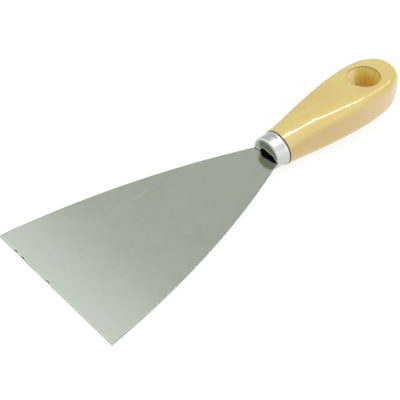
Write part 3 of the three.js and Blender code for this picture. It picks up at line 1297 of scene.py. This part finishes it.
@dataclass
class Handle:
    """The shaped hardwood grip with its tenon, its tang slot and its hourglass hanging hole."""

    finish: WoodFinish
    axes: Matrix
    slot_axes: Matrix
    sizes: dict[str, float] = field(
        default_factory=lambda: {
            "Length": 101.38 * MM,
            "Neck Radius": 11.5 * MM,
            "Belly Width": 35 * MM,
            "Belly At": 71.7 * MM,
            "Plan Roundness": 2.2,
            "Grip Thickness": 26.4 * MM,
            "Grip At": 32 * MM,
            "Tail Thickness": 24 * MM,
            "Tail At": 93.2 * MM,
            "Tail Roundness": 2.0,
            "Square At": 56 * MM,
            "Squareness": 5.2,
            "Soften At": 83 * MM,
            "Butt Squareness": 2.0,
            "Neck Edge": 0.35 * MM,
            "Tenon Length": 5 * MM,
            "Tenon Radius": 9.45 * MM,
            "Tenon Lift": 0.9 * MM,
            "Hole At": HOLE_AT,
            "Hole Mouth": HOLE_MOUTH,
            "Hole Throat": HOLE_THROAT,
            "Throat Half Length": 1.5 * MM,
            "Hole Rim": 0.8 * MM,
            "Slot Width": 15.2 * MM,
            "Slot Height": 3.9 * MM,
            "Slot From": 2.3 * MM,
            "Slot To": 47.8 * MM,
            "Waviness": 0.05 * MM,
        }
    )
    rows_along: int = 220
    columns_around: int = 192
    hole_columns: int = 160
    wall_rows: int = 14
    rim_rows: int = 8
    wave_scale: float = 55.0
    waves_begin: float = 2 * MM
    waves_full: float = 12 * MM
    rim_first: float = 0.35
    rim_last: float = math.radians(72)
    smooth_limit: float = 42

    def inputs(self, graph: NodeGraph) -> dict[str, Wire]:
        """Args:
            graph: The geometry tree's graph.

        Returns:
            A wire for each size.
        """
        interface = graph.tree.interface
        interface.new_socket(name="Geometry", in_out="OUTPUT", socket_type="NodeSocketGeometry")
        for name in self.sizes:
            interface.new_socket(name=name, in_out="INPUT", socket_type="NodeSocketFloat")
        node = graph.node("NodeGroupInput")
        return {name: graph.wire(node, name) for name in self.sizes}

    def closing(self, graph: NodeGraph, t: Wire, exponent: Number) -> Wire:
        """How far a superellipse has closed at t, from 1 at t = 0 to 0 at t = 1."""
        held = graph.clamp(t)
        return graph.maths("MAXIMUM", 1.0 - held**exponent, 0.0) ** (1.0 / exponent)

    def section(self, graph: NodeGraph, size: Mapping[str, Wire], x: Wire) -> tuple[Wire, Wire, Wire]:
        """The grip's section at x.

        Args:
            graph: The geometry tree's graph.
            size: The named sizes.
            x: Distance behind the shoulder of the wood.

        Returns:
            Its half width, its half thickness and its exponent.
        """
        neck = size["Neck Radius"]
        belly = size["Belly Width"] / 2.0
        grip = size["Grip Thickness"] / 2.0
        tail = size["Tail Thickness"] / 2.0
        widening = graph.clamp(x / size["Belly At"])
        plan = neck + (belly - neck) * graph.ease(widening)
        rise = neck + (grip - neck) * graph.ease(x / size["Grip At"])
        fall = (grip - tail) * graph.ease((x - size["Grip At"]) / (size["Tail At"] - size["Grip At"]))
        to_butt = (x - size["Belly At"]) / (size["Length"] - size["Belly At"])
        to_tail = (x - size["Tail At"]) / (size["Length"] - size["Tail At"])
        half_width = plan * self.closing(graph, to_butt, size["Plan Roundness"])
        half_thickness = (rise - fall) * self.closing(graph, to_tail, size["Tail Roundness"])
        squared = 2.0 + (size["Squareness"] - 2.0) * graph.clamp(x / size["Square At"])
        softened = graph.ease((x - size["Soften At"]) / (size["Length"] - size["Soften At"]))
        exponent = squared + (size["Butt Squareness"] - squared) * softened
        return half_width, half_thickness, exponent

    def grid(self, graph: NodeGraph, rows: int, columns: int) -> tuple[Wire, Wire, Wire]:
        """A flat grid to be wrapped round an axis.

        Args:
            graph: The geometry tree's graph.
            rows: Number of rows, from pole to pole.
            columns: Number of steps round.

        Returns:
            The mesh, each vertex's row number from 0, and its angle.
        """
        node = graph.node(
            "GeometryNodeMeshGrid",
            inputs={
                "Size X": float(rows - 1),
                "Size Y": 2 * math.pi,
                "Vertices X": rows,
                "Vertices Y": columns + 1,
            },
        )
        x, y, _ = graph.split(graph.wire(graph.node("GeometryNodeInputPosition")))
        return graph.wire(node, "Mesh"), x + (rows - 1) / 2, y + math.pi

    def wrapped(self, graph: NodeGraph, mesh: Wire, x: Wire, y: Wire, z: Wire) -> Wire:
        """A grid with its vertices moved and its seam and poles closed.

        Args:
            graph: The geometry tree's graph.
            mesh: The grid.
            x: New place of each vertex along the handle.
            y: Its new place across.
            z: Its new height.

        Returns:
            The closed surface.
        """
        moved = graph.node(
            "GeometryNodeSetPosition", inputs={"Geometry": mesh, "Position": graph.vector(x, y, z)}
        )
        merged = graph.node(
            "GeometryNodeMergeByDistance", inputs={"Geometry": graph.wire(moved), "Distance": 1e-6}
        )
        outward = graph.node("GeometryNodeFlipFaces", inputs={"Mesh": graph.wire(merged)})
        return graph.wire(outward)

    def blank(self, graph: NodeGraph, size: Mapping[str, Wire]) -> Wire:
        """The tenon and the grip as one closed surface.

        Args:
            graph: The geometry tree's graph.
            size: The named sizes.

        Returns:
            The closed surface.
        """
        lead_in = 3
        mesh, row, angle = self.grid(graph, self.rows_along + lead_in + 1, self.columns_around)
        share = graph.clamp((row - lead_in) / self.rows_along)
        behind = size["Length"] * 0.5 * (1.0 - graph.maths("COSINE", share * math.pi))
        at_face = graph.below(row, 1.5)
        in_tenon = graph.below(row, 2.5)
        on_axis = graph.below(row, 0.5)
        x = behind - size["Tenon Length"] * at_face
        half_width, half_thickness, exponent = self.section(graph, size, behind)
        cosine = graph.maths("COSINE", angle)
        sine = graph.maths("SINE", angle)
        across = abs(cosine / graph.maths("MAXIMUM", half_width, 1e-6)) ** exponent
        upward = abs(sine / graph.maths("MAXIMUM", half_thickness, 1e-6)) ** exponent
        radius = (across + upward) ** (-1.0 / exponent)
        eased = 1.0 - graph.clamp(behind / size["Neck Edge"])
        radius = radius - size["Neck Edge"] * (1.0 - graph.maths("SQRT", 1.0 - eased * eased * 0.98))
        hand = graph.noise(graph.vector(x, cosine * radius, sine * radius), self.wave_scale, 1.0)
        faded_in = graph.rise(behind, self.waves_begin, self.waves_full)
        radius = radius - size["Waviness"] * hand * faded_in
        radius = radius + (size["Tenon Radius"] - radius) * in_tenon
        radius = graph.maths("MAXIMUM", radius * (1.0 - on_axis), 0.0)
        lift = size["Tenon Lift"] * in_tenon
        return self.wrapped(graph, mesh, x, radius * cosine, radius * sine + lift)

    def hole_tool(self, graph: NodeGraph, size: Mapping[str, Wire]) -> Wire:
        """The hourglass tool, whose rounded rims follow the wood's two faces.

        Args:
            graph: The geometry tree's graph.
            size: The named sizes.

        Returns:
            The closed tool.
        """
        half_rows = self.wall_rows + self.rim_rows + 3
        mesh, row, angle = self.grid(graph, 2 * half_rows, self.hole_columns)
        from_middle = abs(row - (half_rows - 0.5)) - 0.5
        side = 1.0 - 2.0 * graph.below(row, half_rows - 0.5)
        on_wall = graph.clamp(from_middle / self.wall_rows)
        on_rim = graph.clamp((from_middle - self.wall_rows) / self.rim_rows)
        past_rim = graph.clamp(from_middle - (self.wall_rows + self.rim_rows))
        to_axis = graph.clamp(from_middle - (self.wall_rows + self.rim_rows + 1))
        rim = size["Hole Rim"]
        middle = size["Hole At"]
        turn = self.rim_first + on_rim * (self.rim_last - self.rim_first)
        rim_radius = size["Hole Mouth"] + rim * (1.0 - graph.maths("COSINE", turn))
        radius = size["Hole Throat"] + (rim_radius - size["Hole Throat"]) * on_wall
        radius = radius + past_rim * MM
        x = middle + radius * graph.maths("COSINE", angle)
        y = radius * graph.maths("SINE", angle)
        half_width, half_thickness, exponent = self.section(graph, size, x)
        closeness = self.closing(graph, abs(y) / half_width, exponent)
        face = half_thickness * closeness
        rim_height = face - rim * (1.0 - graph.maths("SINE", turn))
        height = size["Throat Half Length"] + (rim_height - size["Throat Half Length"]) * on_wall
        height = height + past_rim * (MM * math.tan(math.pi / 2 - self.rim_last))
        keep = 1.0 - to_axis
        height = height * keep + size["Grip Thickness"] * to_axis
        return self.wrapped(graph, mesh, middle + (x - middle) * keep, y * keep, side * height)

    def slot_tool(self, graph: NodeGraph, size: Mapping[str, Wire]) -> Wire:
        """The block that cuts the slot for the tang, lying along the blade.

        Args:
            graph: The geometry tree's graph.
            size: The named sizes.

        Returns:
            The closed tool.
        """
        run = size["Slot To"] - size["Slot From"]
        middle = (size["Slot From"] + size["Slot To"]) / 2.0
        extent = graph.vector(run, size["Slot Width"], size["Slot Height"])
        cube = graph.node("GeometryNodeMeshCube", inputs={"Size": extent})
        along = graph.node(
            "GeometryNodeTransform",
            inputs={"Geometry": graph.wire(cube, "Mesh"), "Translation": graph.vector(middle, 0.0, 0.0)},
        )
        placed = graph.node(
            "GeometryNodeTransform",
            inputs={
                "Geometry": graph.wire(along),
                "Translation": self.slot_axes.to_translation(),
                "Rotation": self.slot_axes.to_euler(),
            },
        )
        return graph.wire(placed)

    def cut(self, graph: NodeGraph, body: Wire, tool: Wire) -> Wire:
        """A body with a tool taken away.

        Args:
            graph: The geometry tree's graph.
            body: The closed body.
            tool: The closed tool.

        Returns:
            What is left of the body.
        """
        node = graph.node("GeometryNodeMeshBoolean", {"operation": "DIFFERENCE", "solver": "EXACT"})
        graph.tree.links.new(body.socket, node.inputs["Mesh 1"])
        graph.tree.links.new(tool.socket, node.inputs["Mesh 2"])
        return graph.wire(node, "Mesh")

    def tree(self, material: bpy.types.Material) -> bpy.types.NodeTree:
        """The geometry tree that shapes the handle.

        Args:
            material: The material that the tree gives the handle.

        Returns:
            The tree.
        """
        tree = bpy.data.node_groups.new("shaped_handle", "GeometryNodeTree")
        graph = NodeGraph(tree)
        size = self.inputs(graph)
        body = self.cut(graph, self.blank(graph, size), self.hole_tool(graph, size))
        body = self.cut(graph, body, self.slot_tool(graph, size))
        real = graph.node("GeometryNodeRealizeInstances", inputs={"Geometry": body})
        dressed = graph.node(
            "GeometryNodeSetMaterial", inputs={"Geometry": graph.wire(real), "Material": material}
        )
        graph.node("NodeGroupOutput", inputs={"Geometry": graph.wire(dressed)})
        return tree

    def build(self) -> bpy.types.Object:
        """The finished handle.

        Returns:
            The handle.
        """
        piece = new_object("knife_handle", bpy.data.meshes.new("knife_handle"))
        modifier = piece.modifiers.new("shape", "NODES")
        modifier.node_group = self.tree(self.finish.material(self.axes))
        for item in modifier.node_group.interface.items_tree:
            if item.in_out == "INPUT":
                modifier[item.identifier] = self.sizes[item.name]
        applied(piece)
        bm = bmesh.new()
        bm.from_mesh(piece.data)
        bmesh.ops.recalc_face_normals(bm, faces=bm.faces)
        bm.transform(self.axes)
        bm.to_mesh(piece.data)
        bm.free()
        smooth_up_to(piece, self.smooth_limit)
        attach(piece, "root")
        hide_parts("handle")
        return piece


# ---------------------------------------------------------------- adhesive


@dataclass
class TangAdhesive:
    """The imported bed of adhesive, which keeps its own mesh and gets a finish."""

    finish: AdhesiveFinish
    axes: Matrix

    def dress(self) -> bpy.types.Object:
        """The dressed node.

        Returns:
            The node.
        """
        node = frame["nodes"]["tang_adhesive"]
        node.data.materials.clear()
        node.data.materials.append(self.finish.material(self.axes))
        return node


# ---------------------------------------------------------------- studio


@dataclass(frozen=True)
class SoftBox:
    """A long soft light over the grip; its ends are directions from the grip."""

    name: str
    ends: tuple[Vector, Vector]
    width: float
    power: float


@dataclass
class Studio:
    """The pale floor, the soft lights, the surroundings and the camera."""

    floor_half: float = 4.0
    floor_cells: int = 24
    floor_gap: float = 0.02 * MM
    floor_tone: Colour = (0.22, 0.22, 0.22)
    floor_shade: Colour = (0.19, 0.19, 0.19)
    azimuth: float = math.radians(46.578)
    elevation: float = math.radians(41.497)
    roll: float = math.radians(2.894)
    distance: float = 0.57332
    aim: tuple[float, float, float] = (-26.82 * MM, 3.39 * MM, 0.0)
    lens: float = 90.0
    film_width: float = 36.0
    nearest: float = 0.01
    boxes: tuple[SoftBox, ...] = (
        SoftBox("strip_box", (Vector((0.215, -0.02, 0.977)), Vector((0.51, -0.18, 0.84))), 0.08, 3.2),
        SoftBox("bend_box", (Vector((0.21, -0.02, 0.977)), Vector((0.30, 0.144, 0.943))), 0.05, 0.6),
        SoftBox("patch_box", (Vector((0.53, -0.23, 0.815)), Vector((0.72, -0.17, 0.68))), 0.2, 0.9),
    )
    box_distance: float = 1.3
    grip_share: float = 0.55
    fill_ends: tuple[float, float] = (-0.7, 0.9)
    fill_aside: float = -1.5
    fill_high: float = 0.45
    fill_width: float = 0.7
    fill_power: float = 2.2
    fill_tint: Colour = (1.0, 0.86, 0.74)
    dim_side: Colour = (0.68, 0.68, 0.68)
    bright_side: Colour = (1.14, 1.14, 1.2)
    dim_from: float = 0.53
    bright_from: float = 0.43
    sideways_share: float = 0.3

    def floor(self) -> bpy.types.Object:
        """The floor, just under the knife.

        Returns:
            The floor.
        """
        bm = bmesh.new()
        bmesh.ops.create_grid(
            bm, x_segments=self.floor_cells, y_segments=self.floor_cells, size=self.floor_half
        )
        bm.transform(Matrix.Translation((0.0, 0.0, cad_box[0].z - self.floor_gap)))
        mesh = bpy.data.meshes.new("paper_floor")
        bm.to_mesh(mesh)
        bm.free()
        floor = new_object("paper_floor", mesh)
        finish = FloorFinish("white_paper", self.floor_tone, self.floor_shade)
        floor.data.materials.append(finish.material(Matrix.Identity(4)))
        return floor

    def light(
        self,
        name: str,
        ends: Sequence[Vector],
        target: Vector,
        width: float,
        power: float,
        tint: Colour = (1.0, 1.0, 1.0),
    ) -> None:
        """Adds a soft box as a strip between two places.

        Args:
            name: The light's name.
            ends: The middles of its two short sides.
            target: The point that it faces.
            width: Its short side.
            power: Its power in watts.
            tint: Its colour.
        """
        lamp = bpy.data.lights.new(name, "AREA")
        lamp.shape = "RECTANGLE"
        lamp.size = (ends[1] - ends[0]).length
        lamp.size_y = width
        lamp.energy = power
        lamp.color = tint
        holder = bpy.data.objects.new(name, lamp)
        bpy.context.scene.collection.objects.link(holder)
        middle = (ends[0] + ends[1]) / 2
        along = (ends[1] - ends[0]).normalized()
        backward = (middle - target).normalized()
        side = backward.cross(along).normalized()
        facing = along.cross(side)
        turn = Matrix((along, side, facing)).transposed().to_4x4()
        holder.matrix_world = Matrix.Translation(middle) @ turn

    def lights(self) -> None:
        """The long soft boxes that gleam in the lacquer and plating, and a warm fill from the right."""
        grip = Vector((cad_box[1].x * self.grip_share, 0.0, cad_box[1].z))
        for box in self.boxes:
            ends = [grip + direction * self.box_distance for direction in box.ends]
            self.light(box.name, ends, grip, box.width, box.power)
        fill = [Vector((x, self.fill_aside, self.fill_high)) for x in self.fill_ends]
        self.light("fill_box", fill, grip, self.fill_width, self.fill_power, self.fill_tint)

    def surroundings(self) -> None:
        """A pale room that is brighter in front of the blade than behind the handle."""
        world = bpy.data.worlds.new("pale_room")
        world.use_nodes = True
        world.node_tree.nodes.clear()
        graph = NodeGraph(world.node_tree)
        direction = graph.wire(graph.node("ShaderNodeTexCoord"), "Generated")
        x, y, _ = graph.split(direction)
        forward = x + y * self.sideways_share
        shade = graph.mix(
            graph.rise(forward, self.dim_from, self.bright_from), self.dim_side, self.bright_side
        )
        background = graph.node("ShaderNodeBackground", inputs={"Color": shade, "Strength": 1.0})
        graph.node("ShaderNodeOutputWorld", inputs={"Surface": graph.wire(background)})
        bpy.context.scene.world = world

    def camera(self) -> None:
        """The camera, aimed at the floor under the blade."""
        level = Vector((math.sin(self.azimuth), -math.cos(self.azimuth), 0.0))
        forward = Vector((math.cos(self.azimuth), math.sin(self.azimuth), 0.0)) * math.cos(self.elevation)
        forward.z = -math.sin(self.elevation)
        upright = level.cross(forward)
        right = level * math.cos(self.roll) + upright * math.sin(self.roll)
        above = right.cross(forward)
        turn = Matrix((right, above, -forward)).transposed().to_4x4()
        lens = bpy.data.cameras.new("studio_camera")
        lens.lens = self.lens
        lens.sensor_width = self.film_width
        lens.clip_start = self.nearest
        camera = bpy.data.objects.new("studio_camera", lens)
        bpy.context.scene.collection.objects.link(camera)
        camera.matrix_world = Matrix.Translation(Vector(self.aim) - forward * self.distance) @ turn
        bpy.context.scene.camera = camera

    def build(self) -> None:
        """The whole studio."""
        self.floor()
        self.lights()
        self.surroundings()
        self.camera()
        bpy.context.scene.view_settings.view_transform = "Standard"


# ---------------------------------------------------------------- assembly


def report(piece: bpy.types.Object) -> None:
    """Logs a finished piece."""
    log.info("%s: %d vertices, %d faces", piece.name, len(piece.data.vertices), len(piece.data.polygons))


def main() -> None:
    """Builds the studio and the knife."""
    logging.basicConfig(level=logging.INFO, format="%(name)s: %(message)s")
    Studio().build()
    nicks = (
        Nick(34.0 * MM, 2.3 * MM, 0.22 * MM),
        Nick(27.5 * MM, 1.9 * MM, 0.18 * MM),
        Nick(4.8 * MM, 2.6 * MM, 0.22 * MM),
    )
    steel = SteelFinish(
        name="satin_spring_steel",
        tone=(0.495, 0.55, 0.45),
        warm_tone=(0.525, 0.555, 0.47),
        edge_tone=(0.70, 0.74, 0.67),
        stain_and_edge_shade=(0.08, 0.075, 0.055),
        roughness=0.13,
        front=-Blade.exposed_length,
        nicks=nicks,
        stained_run=(15.4 * MM, 26.0 * MM),
        scuffs=(
            Scuff((-101.6 * MM, 21.2 * MM), (-85.4 * MM, 19.4 * MM), 0.5 * MM),
            Scuff((-82.3 * MM, 23.2 * MM), (-70.5 * MM, 23.4 * MM), 1.6 * MM),
        ),
        half_thickness=Blade.thickness / 2,
    )
    blade = Blade(steel, nicks)
    report(blade.build())
    blade_axes = blade.axes()
    handle_turn = Matrix.Rotation(-blade.pitch, 4, "Y")
    ferrule_axes = blade_axes @ handle_turn
    plating = PlatingFinish(
        name="bright_plating",
        tone=(0.58, 0.60, 0.56),
        dull_tone=(0.47, 0.48, 0.42),
        speck_and_shade_tone=(0.16, 0.17, 0.11),
        torn_edge_highlight=(0.92, 0.91, 0.86),
        roughness=0.36,
        rear=Ferrule.length,
        brim=Ferrule.radius - Ferrule.shoulder,
        lift=Ferrule.lift,
    )
    ferrule = Ferrule(plating, ferrule_axes)
    report(ferrule.build())
    wood_gap = 0.3 * MM
    shift = Matrix.Translation((ferrule.length + wood_gap, 0.0, 0.0))
    handle_axes = ferrule_axes @ shift
    slot_axes = handle_axes.inverted() @ blade_axes
    wood = WoodFinish(
        name="lacquered_hardwood",
        light=(0.56, 0.455, 0.13),
        deep=(0.53, 0.39, 0.10),
        line=(0.42, 0.27, 0.06),
        end_grain=(0.64, 0.50, 0.08),
        throat_glow=(0.62, 0.30, 0.012),
        gap_shade_tone=(0.06, 0.032, 0.012),
        side_shade_tone=(0.47, 0.315, 0.088),
        butt_sheen_tone=(0.56, 0.40, 0.19),
        lacquer_roughness=0.04,
        rim_line=(0.20, 0.09, 0.01),
        wall_sheen_tone=(0.80, 0.66, 0.42),
        hole_at=HOLE_AT,
        hole_mouth=HOLE_MOUTH,
        hole_throat=HOLE_THROAT,
    )
    report(Handle(wood, handle_axes, slot_axes).build())
    glue = AdhesiveFinish("set_adhesive", (0.30, 0.18, 0.07), (0.14, 0.08, 0.03))
    report(TangAdhesive(glue, blade_axes).dress())


if __name__ == "__main__":
    main()
